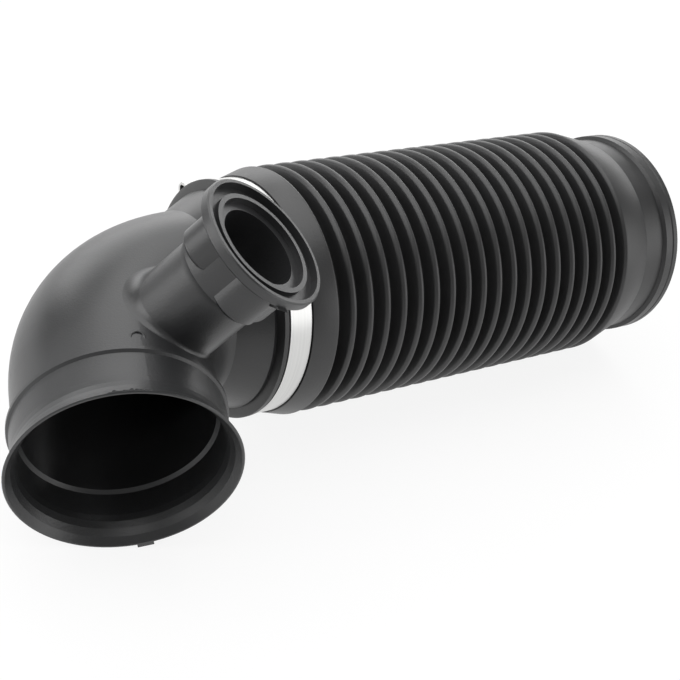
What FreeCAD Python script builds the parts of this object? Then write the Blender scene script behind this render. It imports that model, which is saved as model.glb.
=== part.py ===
"""Air intake hose: a ribbed rubber hose clamped onto a moulded elbow with a branch port."""
import FreeCAD, Part
import math
import os

V = FreeCAD.Vector
os.makedirs("parts", exist_ok=True)

# Rubber hose, measured inwards from its free end, which lies at x = 0
crest_radius = 50.0
crest_count = 20
crest_pitch = 8.25
rib_depth = 7.0
crest_round = 1.5
dip_round = 1.6
rib_wall = 1.7
inner_crest_round = 0.7
free_bore_radius = 41.0
cuff_wall = 3.0
bead_height = 1.6
bead_width = 8.6
bead_chamfer = 0.8
bead_line = 3.5
line_depth = 0.5
land_width = 11.5
shoulder_step = 1.0
shoulder_length = 17.3
neck_length = 9.1
neck_drop = 2.6
rear_bead_width = 3.0
rear_bead_height = 1.2
rear_bead_chamfer = 0.6

# Steel strip clamp around the cuff on the elbow
strip_width = 9.4
strip_margin = 0.5
strip_thickness = 0.8
ear_height = 4.6
ear_foot_half = 4.2
ear_top_half = 2.6
ear_angle = 29.0
ear_chamfer = 1.2

# Moulded elbow
spigot_radius = 43.0
spigot_insert = 19.0
pipe_wall = 2.5
pipe_radius = 36.8
flare_length = 12.7
flare_gap = 1.2
bend_radius = 50.0
bend_angle = 70.0
mouth_run = 39.8
socket_radius = 35.6
socket_depth = 20.0
collar_wall = 2.4
collar_length = 24.0
collar_bead_width = 3.2
collar_bead_height = 0.9
lip_radius = 41.2
lip_edge = 1.0
lip_flare = 10.5
lip_round = 0.4
lip_steps = 4
socket_step = 1.2
lug_angle = -23.0
lug_width = 6.0
lug_reach = 1.7
lug_length = 5.0

# Branch port on the elbow
port_bend_angle = 58.8
port_lean_in = 26.4
port_lean_back = 1.3
port_height = 81.0
port_bore_radius = 15.4
port_bore_depth = 22.0
port_throat_radius = 14.4
port_neck_radius = 17.8
port_step_height = 61.5
port_radius = 20.2
flange_radius = 26.0
flange_thickness = 4.0
flange_chamfer = 0.5
flange_fillet = 1.5
seal_groove_inner = 20.4
seal_groove_outer = 24.2
seal_groove_depth = 3.2
seal_wall_drop = 1.2
seal_ledge_radius = 18.6
seal_ledge_depth = 3.8
hood_radius = 10.0
hood_reach = 4.0
hood_rows = ((288.0, 64.5), (8.0, 61.5))
hood_chamfer = 1.5
tooth_angle = 24.0
tooth_size = 4.6

# Placed sizes
cuff_radius = free_bore_radius + cuff_wall
land_end = bead_width + land_width
last_crest = land_end + shoulder_length
first_crest = last_crest + (crest_count - 1) * crest_pitch
neck_end = first_crest + neck_length
rear_land_radius = spigot_radius + cuff_wall
rear_land_end = neck_end + strip_width + 2 * strip_margin
hose_end = rear_land_end + rear_bead_width
spigot_end = hose_end - spigot_insert
flare_start = hose_end + flare_gap
bend_start = flare_start + flare_length
pipe_bore = pipe_radius - pipe_wall
turn = math.radians(bend_angle)


def spin(edges, origin=V(0, 0, 0), axis=V(1, 0, 0)):
    """Solid made by turning a closed outline all the way round an axis."""
    face = Part.Face(Part.Wire(edges))
    return Part.Solid(face.revolve(origin, axis, 360).Shells[0])


def outline(points):
    """Closed straight-sided outline through points."""
    return Part.makePolygon(points + points[:1]).Edges


def at(inward, radius):
    """Point of the hose outline, from the distance to the free end and the radius."""
    return V(-inward, 0, radius)


def tangent(peak, peak_round, dip, dip_round):
    """Ends of the straight flank that touches a crest circle and a valley circle."""
    run = dip - peak
    length = run.Length
    along = run * (1 / length)
    across = V(along.z, 0, -along.x)
    if across.z < 0:
        across = across * -1
    share = (peak_round + dip_round) / length
    normal = along * share + across * math.sqrt(1 - share * share)
    return peak + normal * peak_round, dip - normal * dip_round


def wave(start, finish, peak_radius, peak_round, dip_radius, dip_round):
    """Edges of the ribbed run from the last crest to the first, with the run in and out."""
    edges = []
    here = start
    top = V(0, 0, 1)
    for rib in range(crest_count):
        middle = last_crest + rib * crest_pitch
        peak = at(middle, peak_radius - peak_round)
        before = at(middle - crest_pitch / 2, dip_radius + dip_round)
        after = at(middle + crest_pitch / 2, dip_radius + dip_round)
        rise, rise_foot = tangent(peak, peak_round, before, dip_round)
        fall, fall_foot = tangent(peak, peak_round, after, dip_round)
        if rib == 0:
            edges.append(Part.makeLine(here, peak + top * peak_round))
            edges.append(Part.Arc(peak + top * peak_round,
                                  peak + (fall - peak + top * peak_round).normalize() * peak_round,
                                  fall).toShape())
        elif rib == crest_count - 1:
            edges.append(Part.makeLine(here, rise))
            edges.append(Part.Arc(rise,
                                  peak + (rise - peak + top * peak_round).normalize() * peak_round,
                                  peak + top * peak_round).toShape())
            edges.append(Part.makeLine(peak + top * peak_round, finish))
            break
        else:
            edges.append(Part.makeLine(here, rise))
            edges.append(Part.Arc(rise, peak + top * peak_round, fall).toShape())
        edges.append(Part.makeLine(fall, fall_foot))
        next_peak = at(middle + crest_pitch, peak_radius - peak_round)
        climb, climb_foot = tangent(next_peak, peak_round, after, dip_round)
        edges.append(Part.Arc(fall_foot, after - top * dip_round, climb_foot).toShape())
        here = climb_foot
    return edges


# Rubber hose: one moulding, from the free cuff through the ribs to the clamped cuff
outer_start = at(land_end, cuff_radius + shoulder_step)
outer_finish = at(neck_end, crest_radius - neck_drop)
outer_wave = wave(outer_start, outer_finish, crest_radius, crest_round,
                  crest_radius - rib_depth, dip_round)
inner_start = at(land_end + 2 * cuff_wall, free_bore_radius)
inner_finish = at(neck_end - cuff_wall, spigot_radius)
inner_wave = wave(inner_start, inner_finish, crest_radius - rib_wall, inner_crest_round,
                  crest_radius - rib_depth - rib_wall, dip_round + rib_wall)
bead_radius = cuff_radius + bead_height
rear_bead_radius = rear_land_radius + rear_bead_height
free_cuff = Part.makePolygon([
    inner_start,
    at(0, free_bore_radius),
    at(0, bead_radius - bead_chamfer),
    at(bead_chamfer, bead_radius),
    at(bead_line - line_depth, bead_radius),
    at(bead_line, bead_radius - line_depth),
    at(bead_line + line_depth, bead_radius),
    at(bead_width - bead_height / 2, bead_radius),
    at(bead_width, cuff_radius),
    at(land_end, cuff_radius),
    outer_start,
]).Edges
clamp_cuff = Part.makePolygon([
    outer_finish,
    at(neck_end, rear_land_radius),
    at(rear_land_end, rear_land_radius),
    at(rear_land_end + rear_bead_chamfer, rear_bead_radius),
    at(hose_end - rear_bead_chamfer, rear_bead_radius),
    at(hose_end, rear_land_radius),
    at(hose_end, spigot_radius),
    inner_finish,
]).Edges
hose = spin(Part.sortEdges(free_cuff + outer_wave + clamp_cuff + inner_wave)[0])
hose.exportStep("parts/bellows_hose.step")

# Strip clamp: one strip closed to a ring with its ear pinched up
clamp_front = (neck_end + rear_land_end - strip_width) / 2
ring_radius = rear_land_radius + strip_thickness
ring = Part.makeCylinder(ring_radius, strip_width).cut(
    Part.makeCylinder(rear_land_radius, strip_width))
ear_base = rear_land_radius - strip_thickness
ear_top = ring_radius + ear_height
ear_block = Part.Face(Part.Wire(outline([
    V(ear_base, -ear_foot_half, 0),
    V(ring_radius, -ear_foot_half, 0),
    V(ear_top - ear_chamfer, -ear_top_half, 0),
    V(ear_top, -ear_top_half + ear_chamfer, 0),
    V(ear_top, ear_top_half - ear_chamfer, 0),
    V(ear_top - ear_chamfer, ear_top_half, 0),
    V(ring_radius, ear_foot_half, 0),
    V(ear_base, ear_foot_half, 0),
]))).extrude(V(0, 0, strip_width))
ear_room = Part.Face(Part.Wire(outline([
    V(ear_base, -ear_foot_half + strip_thickness, 0),
    V(ring_radius, -ear_foot_half + strip_thickness, 0),
    V(ear_top - ear_chamfer - strip_thickness, -ear_top_half + strip_thickness, 0),
    V(ear_top - strip_thickness, -ear_top_half + ear_chamfer + strip_thickness, 0),
    V(ear_top - strip_thickness, ear_top_half - ear_chamfer - strip_thickness, 0),
    V(ear_top - ear_chamfer - strip_thickness, ear_top_half - strip_thickness, 0),
    V(ring_radius, ear_foot_half - strip_thickness, 0),
    V(ear_base, ear_foot_half - strip_thickness, 0),
]))).extrude(V(0, 0, strip_width))
hose_core = Part.makeCylinder(rear_land_radius, strip_width)
clamp = ring.fuse(ear_block).cut(ear_room).cut(hose_core).removeSplitter().Solids[0]
clamp.rotate(V(0, 0, 0), V(0, 0, 1), ear_angle)
# the strip's own axis is turned onto -x, keeping the ear's angle up from +y
clamp.rotate(V(0, 0, 0), V(1, 1, 1), 120)
clamp.translate(V(-clamp_front - strip_width, 0, 0))
clamp.exportStep("parts/hose_clamp.step")

# Elbow, built with its bend level and the mouth turned towards -y
bend_centre = V(-bend_start, -bend_radius, 0)
bend_finish = bend_centre + V(-math.sin(turn), math.cos(turn), 0) * bend_radius
mouth_way = V(-math.cos(turn), -math.sin(turn), 0)
mouth = bend_finish + mouth_way * mouth_run


def pipe_bend(radius):
    """Round solid swept around the bend."""
    ring_edge = Part.makeCircle(radius, V(-bend_start, 0, 0), V(1, 0, 0))
    face = Part.Face(Part.Wire(ring_edge))
    return face.revolve(bend_centre, V(0, 0, 1), bend_angle)


def mouth_spin(points):
    """Round solid on the mouth's axis, from pairs of distance behind the lip and radius."""
    up = V(0, 0, 1)
    return spin(outline([mouth - mouth_way * back + up * radius for back, radius in points]),
                mouth, mouth_way)


def funnel(start, wide, narrow):
    """Pairs along the lip's flare, which closes in as the square of the way back from the lip."""
    shares = [step / lip_steps for step in range(1, lip_steps + 1)]
    return [(start + (lip_flare - start) * share, narrow + (wide - narrow) * (1 - share) ** 2)
            for share in shares]


spigot_outer = spin(outline([
    at(spigot_end, 0),
    at(spigot_end, spigot_radius - 1),
    at(spigot_end + 2, spigot_radius),
    at(flare_start, spigot_radius),
    at(bend_start, pipe_radius),
    at(bend_start, 0),
]))
spigot_inner = spin(outline([
    at(spigot_end - 1, 0),
    at(spigot_end - 1, spigot_radius - pipe_wall),
    at(flare_start, spigot_radius - pipe_wall),
    at(bend_start, pipe_bore),
    at(bend_start, 0),
]))
collar_radius = socket_radius + collar_wall
bead_foot = collar_length - collar_bead_width
mouth_outer = mouth_spin([
    (0, 0),
    (0, lip_radius - lip_round),
    (lip_round, lip_radius),
] + funnel(lip_round, lip_radius, collar_radius) + [
    (bead_foot, collar_radius),
    (bead_foot + collar_bead_height, collar_radius + collar_bead_height),
    (collar_length - collar_bead_height, collar_radius + collar_bead_height),
    (collar_length, pipe_radius),
    (mouth_run, pipe_radius),
    (mouth_run, 0),
])
mouth_inner = mouth_spin([
    (-1, 0),
    (-1, lip_radius - lip_edge),
    (0, lip_radius - lip_edge),
] + funnel(0, lip_radius - lip_edge, socket_radius) + [
    (socket_depth, socket_radius),
    (socket_depth + socket_step, pipe_bore),
    (mouth_run, pipe_bore),
    (mouth_run, 0),
])
port_tangent = V(-math.cos(math.radians(port_bend_angle)),
                 -math.sin(math.radians(port_bend_angle)), 0)
port_inward = V(math.sin(math.radians(port_bend_angle)),
                -math.cos(math.radians(port_bend_angle)), 0)
port_foot = bend_centre - port_inward * bend_radius
lean_in = math.sin(math.radians(port_lean_in))
lean_back = math.sin(math.radians(port_lean_back))
port_way = (port_inward * lean_in - port_tangent * lean_back
            + V(0, 0, 1) * math.sqrt(1 - lean_in ** 2 - lean_back ** 2))
port_side = port_way.cross(port_tangent).normalize()
port_front = port_side.cross(port_way).normalize()


def port_spin(points):
    """Round solid on the port's axis, from pairs of height and radius."""
    return spin(outline([port_foot + port_way * height + port_side * radius
                         for height, radius in points]), port_foot, port_way)


def port_out(angle):
    """Direction out from the port's axis at an angle around it."""
    swing = math.radians(angle)
    return port_front * math.cos(swing) + port_side * math.sin(swing)


flange_under = port_height - flange_thickness
port_outer = port_spin([
    (0, 0),
    (0, port_neck_radius),
    (port_step_height, port_neck_radius),
    (port_step_height, port_radius),
    (flange_under - flange_fillet, port_radius),
    (flange_under, port_radius + flange_fillet),
    (flange_under, flange_radius - flange_chamfer),
    (flange_under + flange_chamfer, flange_radius),
    (port_height - flange_chamfer, flange_radius),
    (port_height, flange_radius - flange_chamfer),
    (port_height, 0),
])
port_inner = port_spin([
    (0, 0),
    (0, port_throat_radius),
    (port_height - port_bore_depth, port_throat_radius),
    (port_height - port_bore_depth, port_bore_radius),
    (port_height - seal_ledge_depth, port_bore_radius),
    (port_height - seal_ledge_depth, seal_ledge_radius),
    (port_height - seal_wall_drop, seal_ledge_radius),
    (port_height - seal_wall_drop, seal_groove_outer),
    (port_height + 1, seal_groove_outer),
    (port_height + 1, 0),
])
seal_groove = port_spin([
    (port_height - seal_groove_depth, seal_groove_inner),
    (port_height - seal_groove_depth, seal_groove_outer),
    (port_height, seal_groove_outer),
    (port_height, seal_groove_inner),
])
outer = spigot_outer.fuse([pipe_bend(pipe_radius), mouth_outer, port_outer])
hood_out = port_radius + hood_reach - hood_radius
for hood_angle, hood_foot in hood_rows:
    hood_base = port_foot + port_way * hood_foot + port_out(hood_angle) * hood_out
    hood_nose = Part.makeCone(hood_radius - hood_chamfer, hood_radius, hood_chamfer, hood_base, port_way)
    hood_body = Part.makeCylinder(hood_radius, flange_under - hood_foot - hood_chamfer / 2,
                                  hood_base + port_way * hood_chamfer, port_way)
    outer = outer.fuse([hood_nose, hood_body])
tooth_root = port_foot + port_way * (flange_under - tooth_size)
tooth_edge = [
    tooth_root + port_out(tooth_angle) * (port_radius - 1),
    tooth_root + port_out(tooth_angle) * (port_radius + 0.8),
    tooth_root + port_way * (tooth_size + 0.5) + port_out(tooth_angle) * (flange_radius + 1.2),
    tooth_root + port_way * (tooth_size + 0.5) + port_out(tooth_angle) * (port_radius - 1),
]
tooth_width = port_out(tooth_angle + 90) * tooth_size
tooth = Part.Face(Part.Wire(outline([corner - tooth_width * 0.5 for corner in tooth_edge])))
outer = outer.fuse(tooth.extrude(tooth_width))
inner = spigot_inner.fuse([pipe_bend(pipe_bore), mouth_inner, port_inner, seal_groove])
lug_swing = math.radians(lug_angle)
lug_out = V(0, 0, -1) * math.cos(lug_swing) + mouth_way.cross(V(0, 0, 1)) * math.sin(lug_swing)
lug_across = lug_out.cross(mouth_way).normalize() * lug_width
lug_edge = [
    mouth - mouth_way * 0.4 + lug_out * (lip_radius - 2),
    mouth - mouth_way * 0.4 + lug_out * (lip_radius + lug_reach),
    mouth - mouth_way * (lug_length * 0.5) + lug_out * (lip_radius + lug_reach),
    mouth - mouth_way * (lug_length * 2) + lug_out * (collar_radius - 0.6),
]
lug = Part.Face(Part.Wire(outline([corner - lug_across * 0.5 for corner in lug_edge])))
outer = outer.fuse(lug.extrude(lug_across))
elbow = outer.cut(inner).removeSplitter().Solids[0]

# The elbow is rolled about the hose's axis until its lip rests level with the ribs
mouth_offset = -mouth.y
tilt_share = lip_radius ** 2 * math.sin(turn) ** 2
square = mouth_offset ** 2 + tilt_share
half = crest_radius * mouth_offset
rest = crest_radius ** 2 - lip_radius ** 2
rest_roll = math.degrees(math.asin((half - math.sqrt(half * half - square * rest)) / square))
elbow.rotate(V(0, 0, 0), V(1, 0, 0), rest_roll)
elbow.exportStep("parts/intake_elbow.step")
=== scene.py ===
import math

import bpy
import numpy as np
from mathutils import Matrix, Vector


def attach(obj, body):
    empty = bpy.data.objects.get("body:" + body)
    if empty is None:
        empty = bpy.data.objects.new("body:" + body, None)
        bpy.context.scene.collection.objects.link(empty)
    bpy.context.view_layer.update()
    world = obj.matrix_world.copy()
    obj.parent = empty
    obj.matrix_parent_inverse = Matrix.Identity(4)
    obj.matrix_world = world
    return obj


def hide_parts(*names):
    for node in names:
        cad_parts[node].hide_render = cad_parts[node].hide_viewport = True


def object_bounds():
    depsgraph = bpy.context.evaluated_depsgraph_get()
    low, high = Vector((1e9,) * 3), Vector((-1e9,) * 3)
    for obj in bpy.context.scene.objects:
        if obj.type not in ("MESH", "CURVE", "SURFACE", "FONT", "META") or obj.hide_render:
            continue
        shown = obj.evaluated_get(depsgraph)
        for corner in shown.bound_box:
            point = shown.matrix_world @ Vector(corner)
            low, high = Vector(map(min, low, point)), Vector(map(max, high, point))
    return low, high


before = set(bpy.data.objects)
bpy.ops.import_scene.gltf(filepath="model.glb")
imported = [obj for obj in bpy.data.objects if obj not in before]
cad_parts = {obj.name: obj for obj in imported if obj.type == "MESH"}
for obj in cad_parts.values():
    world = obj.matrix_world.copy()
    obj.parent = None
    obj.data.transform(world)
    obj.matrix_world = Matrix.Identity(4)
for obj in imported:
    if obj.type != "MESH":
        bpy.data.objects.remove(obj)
cad_low, cad_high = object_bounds()


# Moulded elbow: one injection moulding in black glass-filled plastic. Its skin is satin from the tool,
# a little duller where the melt met, and it is pushed into the hose's cuff as far as the flare.
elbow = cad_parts["intake_elbow"]
port_foot = np.array([-0.2733182, -0.0238956, -0.0031217])
port_way = np.array([0.3920777, -0.3251416, 0.8605568])
port_step = 0.0615
corner_start = 0.0042
corner_full = 0.0016
corner_edge = 0.0001
corner_end = 0.0003
corner_inside = 0.0190
corner_outside = 0.0200
corner_roughness = 0.5


def add_node(tree, kind, **inputs):
    """One node of a tree, with its named inputs set."""
    node = tree.nodes.new(kind)
    for name, value in inputs.items():
        node.inputs[name.replace("_", " ")].default_value = value
    return node


def moulded_skin_group():
    """Moulding skin: fine tool grain, broad melt clouding and small scuffs from noise on Object coordinates.

    Grain is a small-scale noise, Cloud a large soft noise, and Scuff a thresholded stretched noise.
    """
    group = bpy.data.node_groups.new("moulded_skin", "ShaderNodeTree")
    face = group.interface
    for name in ("Grain Scale", "Cloud Scale"):
        face.new_socket(name, in_out="INPUT", socket_type="NodeSocketFloat")
    for name in ("Grain", "Cloud", "Scuff"):
        face.new_socket(name, in_out="OUTPUT", socket_type="NodeSocketFloat")
    enter = group.nodes.new("NodeGroupInput")
    leave = group.nodes.new("NodeGroupOutput")
    place = group.nodes.new("ShaderNodeTexCoord")
    grain = add_node(group, "ShaderNodeTexNoise", Detail=3.0, Roughness=0.6)
    cloud = add_node(group, "ShaderNodeTexNoise", Detail=4.0, Roughness=0.55, Distortion=0.6)
    stretch = group.nodes.new("ShaderNodeMapping")
    stretch.inputs["Scale"].default_value = (40, 160, 260)
    stretch.inputs["Rotation"].default_value = (0.3, 0.7, 0.4)
    scratch = add_node(group, "ShaderNodeTexNoise", Scale=1.0, Detail=5.0, Roughness=0.7)
    band = add_node(group, "ShaderNodeMapRange", From_Min=0.62, From_Max=0.74)
    for node in (grain, cloud, stretch):
        group.links.new(place.outputs["Object"], node.inputs["Vector"])
    group.links.new(enter.outputs["Grain Scale"], grain.inputs["Scale"])
    group.links.new(enter.outputs["Cloud Scale"], cloud.inputs["Scale"])
    group.links.new(stretch.outputs["Vector"], scratch.inputs["Vector"])
    group.links.new(scratch.outputs["Fac"], band.inputs["Value"])
    group.links.new(grain.outputs["Fac"], leave.inputs["Grain"])
    group.links.new(cloud.outputs["Fac"], leave.inputs["Cloud"])
    group.links.new(band.outputs["Result"], leave.inputs["Scuff"])
    return group


moulded_skin = moulded_skin_group()


def step_corner_group():
    """Dull corner under the port's step: a band of heights along the port's axis, close to its neck."""
    group = bpy.data.node_groups.new("step_corner", "ShaderNodeTree")
    group.interface.new_socket("Mask", in_out="OUTPUT", socket_type="NodeSocketFloat")
    leave = group.nodes.new("NodeGroupOutput")
    place = group.nodes.new("ShaderNodeTexCoord").outputs["Object"]

    def vector(operation, first, second):
        node = group.nodes.new("ShaderNodeVectorMath")
        node.operation = operation
        group.links.new(first, node.inputs[0])
        node.inputs[1].default_value = second
        return node

    def ramp(value, start, finish):
        node = add_node(group, "ShaderNodeMapRange", From_Min=start, From_Max=finish)
        group.links.new(value, node.inputs["Value"])
        return node.outputs["Result"]

    def product(first, second):
        node = group.nodes.new("ShaderNodeMath")
        node.operation = "MULTIPLY"
        group.links.new(first, node.inputs[0])
        group.links.new(second, node.inputs[1])
        return node.outputs["Value"]

    from_foot = vector("SUBTRACT", place, port_foot).outputs["Vector"]
    height = vector("DOT_PRODUCT", from_foot, port_way).outputs["Value"]
    reach = vector("CROSS_PRODUCT", from_foot, port_way).outputs["Vector"]
    radius = vector("LENGTH", reach, (0, 0, 0)).outputs["Value"]
    band = product(ramp(height, port_step - corner_start, port_step - corner_full),
                   ramp(height, port_step + corner_end, port_step + corner_edge))
    corner = product(band, ramp(radius, corner_outside, corner_inside))
    group.links.new(corner, leave.inputs["Mask"])
    return group


step_corner = step_corner_group()


def black_moulding(name, deep, lit, rough_low, rough_high, grain_scale, cloud_scale, bump, ior):
    """Black moulded finish: colour and roughness follow the clouding, and scuffs add to the roughness."""
    cloud_low, cloud_high = 0.3, 0.7
    scuff_roughness = 0.1
    grain_depth = 0.0002
    material = bpy.data.materials.new(name)
    material.use_nodes = True
    tree = material.node_tree
    shader = tree.nodes["Principled BSDF"]
    shader.inputs["IOR"].default_value = ior
    skin = tree.nodes.new("ShaderNodeGroup")
    skin.node_tree = moulded_skin
    skin.inputs["Grain Scale"].default_value = grain_scale
    skin.inputs["Cloud Scale"].default_value = cloud_scale
    tone = tree.nodes.new("ShaderNodeValToRGB")
    tone.color_ramp.elements[0].position = cloud_low
    tone.color_ramp.elements[0].color = (*deep, 1)
    tone.color_ramp.elements[1].position = cloud_high
    tone.color_ramp.elements[1].color = (*lit, 1)
    gloss = add_node(tree, "ShaderNodeMapRange", From_Min=cloud_low, From_Max=cloud_high,
                     To_Min=rough_low, To_Max=rough_high)
    duller = tree.nodes.new("ShaderNodeMath")
    duller.operation = "MULTIPLY_ADD"
    duller.inputs[1].default_value = scuff_roughness
    relief = add_node(tree, "ShaderNodeBump", Strength=bump, Distance=grain_depth)
    tree.links.new(skin.outputs["Cloud"], tone.inputs["Fac"])
    tree.links.new(tone.outputs["Color"], shader.inputs["Base Color"])
    tree.links.new(skin.outputs["Cloud"], gloss.inputs["Value"])
    tree.links.new(skin.outputs["Scuff"], duller.inputs[0])
    tree.links.new(gloss.outputs["Result"], duller.inputs[2])
    tree.links.new(duller.outputs["Value"], shader.inputs["Roughness"])
    tree.links.new(skin.outputs["Grain"], relief.inputs["Height"])
    tree.links.new(relief.outputs["Normal"], shader.inputs["Normal"])
    return material


elbow_plastic = black_moulding("elbow_plastic", deep=(0.017, 0.0173, 0.0180), lit=(0.025, 0.0254, 0.0265),
                               rough_low=0.30, rough_high=0.40, grain_scale=1400, cloud_scale=14,
                               bump=0.35, ior=1.6)
elbow.material_slots[0].material = elbow_plastic
elbow_tree = elbow_plastic.node_tree
elbow_shader = elbow_tree.nodes["Principled BSDF"]
corner = elbow_tree.nodes.new("ShaderNodeGroup")
corner.node_tree = step_corner
dulled = elbow_tree.nodes.new("ShaderNodeMath")
dulled.operation = "MULTIPLY_ADD"
dulled.inputs[1].default_value = corner_roughness
elbow_tree.links.new(corner.outputs["Mask"], dulled.inputs[0])
elbow_tree.links.new(elbow_shader.inputs["Roughness"].links[0].from_socket, dulled.inputs[2])
elbow_tree.links.new(dulled.outputs["Value"], elbow_shader.inputs["Roughness"])


# Fillet at the branch port's root: the moulding runs from the elbow into the port in one soft curve,
# full on the outside of the bend and running out to a crease on the inside, in the same shot.
bend_radius = 0.050
bend_start = 0.23055
bend_turn = math.radians(70.0)
pipe_radius = 0.0368
rest_roll = math.radians(7.443)
neck_radius = 0.0178
port_bend_angle = math.radians(58.8)
root_lowest = 0.012
root_highest = 0.070
root_halvings = 40
fillet_most = 0.0044
fillet_least = 0.0012
full_side = np.array([-0.45, 0.80, 0.0])
head_sink = 0.00004
foot_sink = 0.00020
closing_depth = 0.0008
inner_depth = 0.0012
bend_centre = np.array([-bend_start, -bend_radius, 0])
bend_finish = bend_radius * np.array([-math.sin(bend_turn), math.cos(bend_turn), 0])
mouth_way = np.array([-math.cos(bend_turn), -math.sin(bend_turn), 0])
level = np.array([[1, 0, 0],
                  [0, math.cos(rest_roll), math.sin(rest_roll)],
                  [0, -math.sin(rest_roll), math.cos(rest_roll)]])


def pipe_distance(points):
    """Distance of points from the elbow's middle line: round the bend's circle, then on along its tangent."""
    flat = points @ level.T
    out = flat - bend_centre
    swing = np.arctan2(-out[..., 0], out[..., 1])
    ring = np.hypot(np.hypot(out[..., 0], out[..., 1]) - bend_radius, out[..., 2])
    ahead = (out - bend_finish) @ mouth_way
    line = np.linalg.norm(out - bend_finish - ahead[..., None] * mouth_way, axis=-1)
    back = np.hypot(out[..., 1] - bend_radius, out[..., 2])
    return np.where(swing > bend_turn, line, np.where(swing < 0, back, ring))


port_tangent = level.T @ np.array([-math.cos(port_bend_angle), -math.sin(port_bend_angle), 0])
port_side = np.cross(port_way, port_tangent)
port_side /= np.linalg.norm(port_side)
port_front = np.cross(port_side, port_way)


def port_ring(radius, swing):
    """Points at a radius around the port's axis, where that cylinder leaves the elbow's skin."""
    out = np.cos(swing)[:, None] * port_front + np.sin(swing)[:, None] * port_side
    low = np.full(len(swing), root_lowest)
    high = np.full(len(swing), root_highest)
    for _ in range(root_halvings):
        middle_height = (low + high) / 2
        trial = port_foot + radius[:, None] * out + middle_height[:, None] * port_way
        inside = pipe_distance(trial) < pipe_radius
        low = np.where(inside, middle_height, low)
        high = np.where(inside, high, middle_height)
    return port_foot + radius[:, None] * out + high[:, None] * port_way, out


def root_fillet(around, across):
    """Fillet ring: each section is a quadratic curve, along the neck at its head and the skin at its foot.

    Its size swells as a cosine around the port. The section is closed by three points inside the moulding.
    """
    swing = np.linspace(0, 2 * np.pi, around, endpoint=False)
    fullest = math.atan2(full_side @ port_side, full_side @ port_front)
    size = fillet_least + (fillet_most - fillet_least) * (0.5 + 0.5 * np.cos(swing - fullest))
    step = 0.0002
    foot, out = port_ring(neck_radius + size, swing)
    further, _ = port_ring(neck_radius + size + step, swing)
    corner = foot - size[:, None] * (further - foot) / step
    head = corner + size[:, None] * port_way - head_sink * out
    foot = foot - foot_sink * port_way
    share = np.linspace(0, 1, across)[None, :, None]
    curve = ((1 - share) ** 2 * head[:, None] + 2 * share * (1 - share) * corner[:, None]
             + share ** 2 * foot[:, None])
    under = foot - closing_depth * port_way
    inner = corner - inner_depth * out - inner_depth * port_way
    behind = head - closing_depth * out
    section = np.concatenate([curve, under[:, None], inner[:, None], behind[:, None]], axis=1)
    return section[:, ::-1]


def ring_mesh(name, grid):
    """Mesh of a grid of points that is closed in both directions."""
    rows, columns = grid.shape[:2]
    index = np.arange(rows * columns).reshape(rows, columns)
    ahead = np.roll(index, -1, 0)
    faces = np.stack([index, ahead, np.roll(ahead, -1, 1), np.roll(index, -1, 1)], -1).reshape(-1, 4)
    mesh = bpy.data.meshes.new(name)
    mesh.from_pydata(grid.reshape(-1, 3).tolist(), [], faces.tolist())
    mesh.polygons.foreach_set("use_smooth", np.ones(len(faces), bool))
    piece = bpy.data.objects.new(name, mesh)
    bpy.context.collection.objects.link(piece)
    return piece


port_fillet = ring_mesh("port_fillet", root_fillet(around=160, across=13))
port_fillet.data.materials.append(elbow_plastic)
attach(port_fillet, "root")


# Gate mark on the elbow: a small raised crescent beside the mouth's collar, where the melt came in and the
# gate was trimmed, in the same plastic.
mark_place = np.array([-0.28203, -0.04684, 0.03098])
mark_radius = 0.0024
mark_round = 0.00045
mark_sink = 0.0004
mark_tilt = math.radians(14.0)
mark_angle = math.radians(91.5)


def gate_crescent(around, across):
    """Crescent: a thin round ring, tilted so that one side stands out of the skin and one lies in it."""
    swing = np.linspace(0, 2 * np.pi, around, endpoint=False)[:, None, None]
    turn = np.linspace(0, 2 * np.pi, across, endpoint=False)[None, :, None]
    up = level.T @ np.array([math.cos(mark_angle) * math.sin(bend_turn),
                             -math.cos(mark_angle) * math.cos(bend_turn), math.sin(mark_angle)])
    back = level.T @ -mouth_way
    side = np.cross(up, back)
    tilted_back = math.cos(mark_tilt) * back + math.sin(mark_tilt) * up
    tilted_up = math.cos(mark_tilt) * up - math.sin(mark_tilt) * back
    spoke = np.cos(swing) * tilted_back + np.sin(swing) * side
    reach = mark_radius + mark_round * np.cos(turn)
    return mark_place - mark_sink * up + reach * spoke + mark_round * np.sin(turn) * tilted_up


gate_mark = ring_mesh("gate_mark", gate_crescent(around=64, across=12))
gate_mark.data.materials.append(elbow_plastic)
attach(gate_mark, "root")


# Mould flash on the elbow's lip: a thin ragged skin of the same plastic, squeezed out where the tool's
# halves met and left untrimmed on the upper edge of the mouth.
lip_radius = 0.0412
mouth_run = 0.0398
flash_middle = math.radians(101.0)
flash_spread = math.radians(11.0)
flash_height = 0.0013
flash_least = 0.25
flash_waves = (31, 67, 113)
flash_sink = 0.0004
flash_root = 0.0007
flash_root_span = (0.0007, 0.0003)
flash_crest_span = (0.0006, 0.0004)


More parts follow.
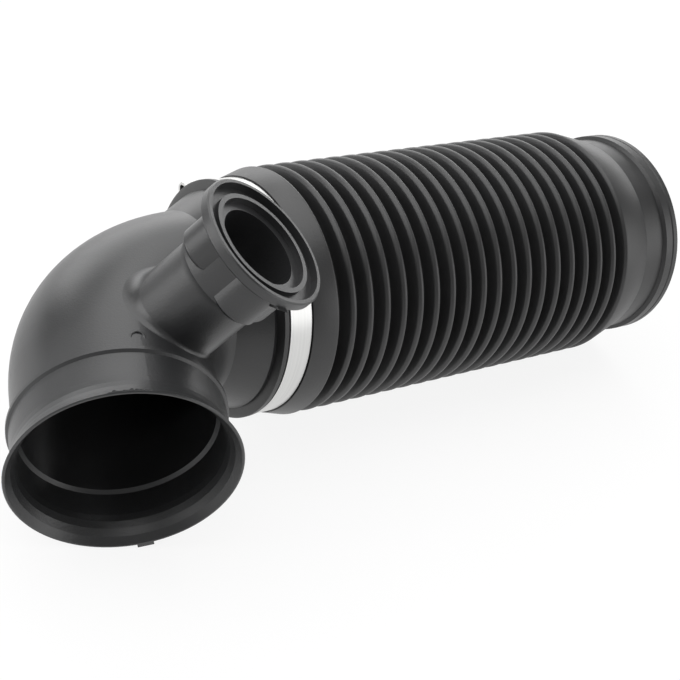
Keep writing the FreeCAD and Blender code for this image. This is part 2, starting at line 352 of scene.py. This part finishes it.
def lip_flash(around):
    """Flash ring: a thin rectangle swept round the lip, sunk in it except where ragged sines lift it.

    The lift is the size of three added sines of the angle, under a bell curve about the flash's middle.
    """
    swing = np.linspace(0, 2 * np.pi, around, endpoint=False)
    across = np.array([math.sin(bend_turn), -math.cos(bend_turn), 0])
    mouth = bend_centre + bend_finish + mouth_run * mouth_way
    bell = np.exp(-((swing - flash_middle) / flash_spread) ** 4)
    waves = [np.sin(count * swing + shift) for shift, count in enumerate(flash_waves)]
    ragged = np.abs(sum(waves)) / len(flash_waves)
    lift = flash_height * (flash_least + (1 - flash_least) * ragged)
    top = lip_radius - flash_sink + bell * (flash_sink + lift)
    out = np.cos(swing)[:, None] * across + np.sin(swing)[:, None] * np.array([0, 0, 1.0])
    base = mouth + (lip_radius - flash_root) * out
    crest = mouth + top[:, None] * out
    rows = [base - flash_root_span[0] * mouth_way, crest - flash_crest_span[0] * mouth_way,
            crest - flash_crest_span[1] * mouth_way, base - flash_root_span[1] * mouth_way]
    return np.stack(rows, 1) @ level


flash = ring_mesh("lip_flash", lip_flash(around=1440))
flash.data.materials.append(elbow_plastic)
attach(flash, "root")


# Ribbed hose: one moulding in black rubber, blown into a split tool that forms twenty ribs between two
# plain cuffs. Its near cuff is stretched over the elbow's spigot and held there by the strip clamp.
crest_radius = 0.0500
crest_count = 20
crest_pitch = 0.00825
last_crest = 0.0374
rib_depth = 0.0070
rib_wall = 0.0017
crest_round = 0.0015
valley_round = 0.0016
inner_crest_round = 0.0007
flank_ends = (0.08, 0.92)
sharp_angle = math.radians(34)
free_cuff = np.array([(0.0261, 0.0410), (0, 0.0410), (0, 0.0448), (0.0008, 0.0456), (0.0030, 0.0456),
                      (0.0035, 0.0451), (0.0040, 0.0456), (0.0078, 0.0456), (0.0086, 0.0440),
                      (0.0201, 0.0440), (0.0201, 0.0450)])
clamp_cuff = np.array([(0.20325, 0.0474), (0.20325, 0.0460), (0.21365, 0.0460), (0.21425, 0.0472),
                       (0.21605, 0.0472), (0.21665, 0.0460), (0.21665, 0.0430), (0.20025, 0.0430)])


def rib_wave(peak, peak_round, dip, dip_round, peak_steps, dip_steps, flank_shares):
    """Ribbed run: crest arcs and valley arcs in turn, each ending where one straight flank touches both.

    The lean of the flank's normal follows from the two circles. Points at shares of a flank keep it flat.
    The run starts and ends on a crest's top.
    """
    run = np.array([crest_pitch / 2, (dip + dip_round) - (peak - peak_round)])
    length = np.linalg.norm(run)
    share = (peak_round + dip_round) / length
    normal = run / length * share + np.array([-run[1], run[0]]) / length * math.sqrt(1 - share ** 2)
    lean = math.atan2(normal[0], normal[1])
    rise = np.linspace(-lean, lean, peak_steps)
    fall = np.linspace(lean, -lean, dip_steps)
    crest = np.stack([np.sin(rise), np.cos(rise)], -1) * peak_round + np.array([0, peak - peak_round])
    valley = np.stack([np.sin(fall), np.cos(fall)], -1) * -dip_round
    valley = valley + np.array([crest_pitch / 2, dip + dip_round])
    ribs = np.arange(crest_count)[:, None, None] * np.array([crest_pitch, 0]) + np.array([last_crest, 0])
    shares = np.array(flank_shares).reshape(-1, 1)
    down = crest[-1] + shares * (valley[0] - crest[-1])
    up = valley[-1] + shares * (crest[0] + np.array([crest_pitch, 0]) - valley[-1])
    waves = (np.concatenate([crest, down, valley, up])[None] + ribs).reshape(-1, 2)
    half = peak_steps // 2
    return waves[half:len(waves) - half - dip_steps - 2 * len(shares)]


def spun_hose(around):
    """Hose: free cuff, outer ribs, clamped cuff and inner ribs as one closed outline, turned about X."""
    outer = rib_wave(crest_radius, crest_round, crest_radius - rib_depth, valley_round,
                     peak_steps=9, dip_steps=7, flank_shares=flank_ends)
    inner = rib_wave(crest_radius - rib_wall, inner_crest_round,
                     crest_radius - rib_depth - rib_wall, valley_round + rib_wall,
                     peak_steps=3, dip_steps=7, flank_shares=())
    outline = np.concatenate([free_cuff, outer, clamp_cuff, inner[::-1]])[::-1]
    swing = (np.arange(around) + 0.5)[:, None] * 2 * np.pi / around
    inward, radius = outline.T
    return np.stack(np.broadcast_arrays(-inward, radius * np.cos(swing), radius * np.sin(swing)), -1)


hose_rubber = black_moulding("hose_rubber", deep=(0.013, 0.013, 0.0134), lit=(0.020, 0.020, 0.0206),
                             rough_low=0.38, rough_high=0.46, grain_scale=1100, cloud_scale=22,
                             bump=0.25, ior=1.6)
hose = ring_mesh("ribbed_hose", spun_hose(around=160))
hose.data.set_sharp_from_angle(angle=sharp_angle)
hose.data.materials.append(hose_rubber)
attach(hose, "root")
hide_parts("bellows_hose")


# Strip clamp: one bright stainless strip, rolled along its length, closed around the cuff and held by
# pinching up its ear.
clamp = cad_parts["hose_clamp"]


def rolled_strip(name, deep, lit, rough_low, rough_high):
    """Rolled steel: fine lines along the strip, from noise that changes quickly across its width only."""
    material = bpy.data.materials.new(name)
    material.use_nodes = True
    tree = material.node_tree
    shader = tree.nodes["Principled BSDF"]
    shader.inputs["Metallic"].default_value = 1.0
    place = tree.nodes.new("ShaderNodeTexCoord")
    stretch = tree.nodes.new("ShaderNodeMapping")
    stretch.inputs["Scale"].default_value = (2600, 14, 14)
    lines = add_node(tree, "ShaderNodeTexNoise", Scale=1.0, Detail=4.0, Roughness=0.65)
    tone = tree.nodes.new("ShaderNodeValToRGB")
    tone.color_ramp.elements[0].position = 0.25
    tone.color_ramp.elements[0].color = (*deep, 1)
    tone.color_ramp.elements[1].position = 0.75
    tone.color_ramp.elements[1].color = (*lit, 1)
    gloss = add_node(tree, "ShaderNodeMapRange", From_Min=0.2, From_Max=0.8,
                     To_Min=rough_low, To_Max=rough_high)
    relief = add_node(tree, "ShaderNodeBump", Strength=0.12, Distance=0.0001)
    tree.links.new(place.outputs["Object"], stretch.inputs["Vector"])
    tree.links.new(stretch.outputs["Vector"], lines.inputs["Vector"])
    tree.links.new(lines.outputs["Fac"], tone.inputs["Fac"])
    tree.links.new(tone.outputs["Color"], shader.inputs["Base Color"])
    tree.links.new(lines.outputs["Fac"], gloss.inputs["Value"])
    tree.links.new(gloss.outputs["Result"], shader.inputs["Roughness"])
    tree.links.new(lines.outputs["Fac"], relief.inputs["Height"])
    tree.links.new(relief.outputs["Normal"], shader.inputs["Normal"])
    return material


clamp.material_slots[0].material = rolled_strip("clamp_steel", deep=(0.58, 0.58, 0.572),
                                                lit=(0.72, 0.72, 0.71), rough_low=0.26, rough_high=0.40)


# Bench and light: a white bench top that fills the view, a broad soft light overhead and smaller soft
# ones around it, as in a light tent.
bench_height = cad_low[2]
bench_half = 12.0
plain_share = 0.88
bench_mesh = bpy.data.meshes.new("bench")
bench_mesh.from_pydata([(-bench_half, -bench_half, bench_height), (bench_half, -bench_half, bench_height),
                        (bench_half, bench_half, bench_height), (-bench_half, bench_half, bench_height)],
                       [], [(0, 1, 2, 3)])
bench = bpy.data.objects.new("bench", bench_mesh)
bpy.context.collection.objects.link(bench)


def bench_paper(share):
    """White paper: a matt white that keeps the shadow, mixed for the rays that see it with plain white."""
    material = bpy.data.materials.new("bench_paper")
    material.use_nodes = True
    tree = material.node_tree
    tree.nodes.remove(tree.nodes["Principled BSDF"])
    matt = add_node(tree, "ShaderNodeBsdfDiffuse", Color=(0.93, 0.93, 0.93, 1))
    plain = add_node(tree, "ShaderNodeEmission", Strength=1.0)
    rays = tree.nodes.new("ShaderNodeLightPath")
    first = tree.nodes.new("ShaderNodeMath")
    second = tree.nodes.new("ShaderNodeMath")
    amount = tree.nodes.new("ShaderNodeMath")
    first.operation = "MAXIMUM"
    second.operation = "MAXIMUM"
    amount.operation = "MULTIPLY"
    amount.inputs[1].default_value = share
    mix = tree.nodes.new("ShaderNodeMixShader")
    tree.links.new(rays.outputs["Is Camera Ray"], first.inputs[0])
    tree.links.new(rays.outputs["Is Glossy Ray"], first.inputs[1])
    tree.links.new(first.outputs["Value"], second.inputs[0])
    tree.links.new(rays.outputs["Is Transmission Ray"], second.inputs[1])
    tree.links.new(second.outputs["Value"], amount.inputs[0])
    tree.links.new(amount.outputs["Value"], mix.inputs["Fac"])
    tree.links.new(matt.outputs["BSDF"], mix.inputs[1])
    tree.links.new(plain.outputs["Emission"], mix.inputs[2])
    tree.links.new(mix.outputs["Shader"], tree.nodes["Material Output"].inputs["Surface"])
    return material


bench_mesh.materials.append(bench_paper(plain_share))


def soft_light(name, place, target, width, height, power):
    """A rectangular lamp at a place, facing a target."""
    lamp = bpy.data.lights.new(name, "AREA")
    lamp.shape = "RECTANGLE"
    lamp.size = width
    lamp.size_y = height
    lamp.energy = power
    holder = bpy.data.objects.new(name, lamp)
    bpy.context.collection.objects.link(holder)
    way = np.array(target, float) - np.array(place, float)
    flat = math.hypot(way[0], way[1])
    holder.location = place
    turn = math.atan2(way[1], way[0]) - math.pi / 2
    holder.rotation_euler = (math.pi / 2 + math.atan2(way[2], flat), 0, turn)


middle = (-0.17, -0.02, 0.0)
soft_light("tent_top", (-0.25, 0.30, 1.25), middle, width=2.2, height=1.6, power=22)
soft_light("tent_back", (0.50, 1.50, 0.42), middle, width=2.4, height=0.9, power=13)
soft_light("tent_left", (-1.25, 0.45, 0.45), middle, width=0.9, height=0.9, power=7)
soft_light("tent_right", (0.95, -1.15, 0.45), middle, width=1.4, height=0.8, power=6)
soft_light("tent_end", (1.22, 0.42, 0.36), middle, width=0.7, height=0.5, power=2.2)

world = bpy.data.worlds.new("tent")
world.use_nodes = True
world.node_tree.nodes["Background"].inputs["Color"].default_value = (1, 1, 1, 1)
world.node_tree.nodes["Background"].inputs["Strength"].default_value = 0.32
bpy.context.scene.world = world
bpy.context.scene.view_settings.view_transform = "Standard"


# Camera: the photograph's own view, from above the elbow's mouth and along the hose.
camera_data = bpy.data.cameras.new("camera")
camera_data.sensor_width = 36.0
camera_data.lens = 80.34
camera = bpy.data.objects.new("camera", camera_data)
camera.location = (-0.52078, -0.38494, 0.33896)
camera.rotation_euler = tuple(math.radians(angle) for angle in (53.896, -14.317, -34.075))
bpy.context.collection.objects.link(camera)
bpy.context.scene.camera = camera
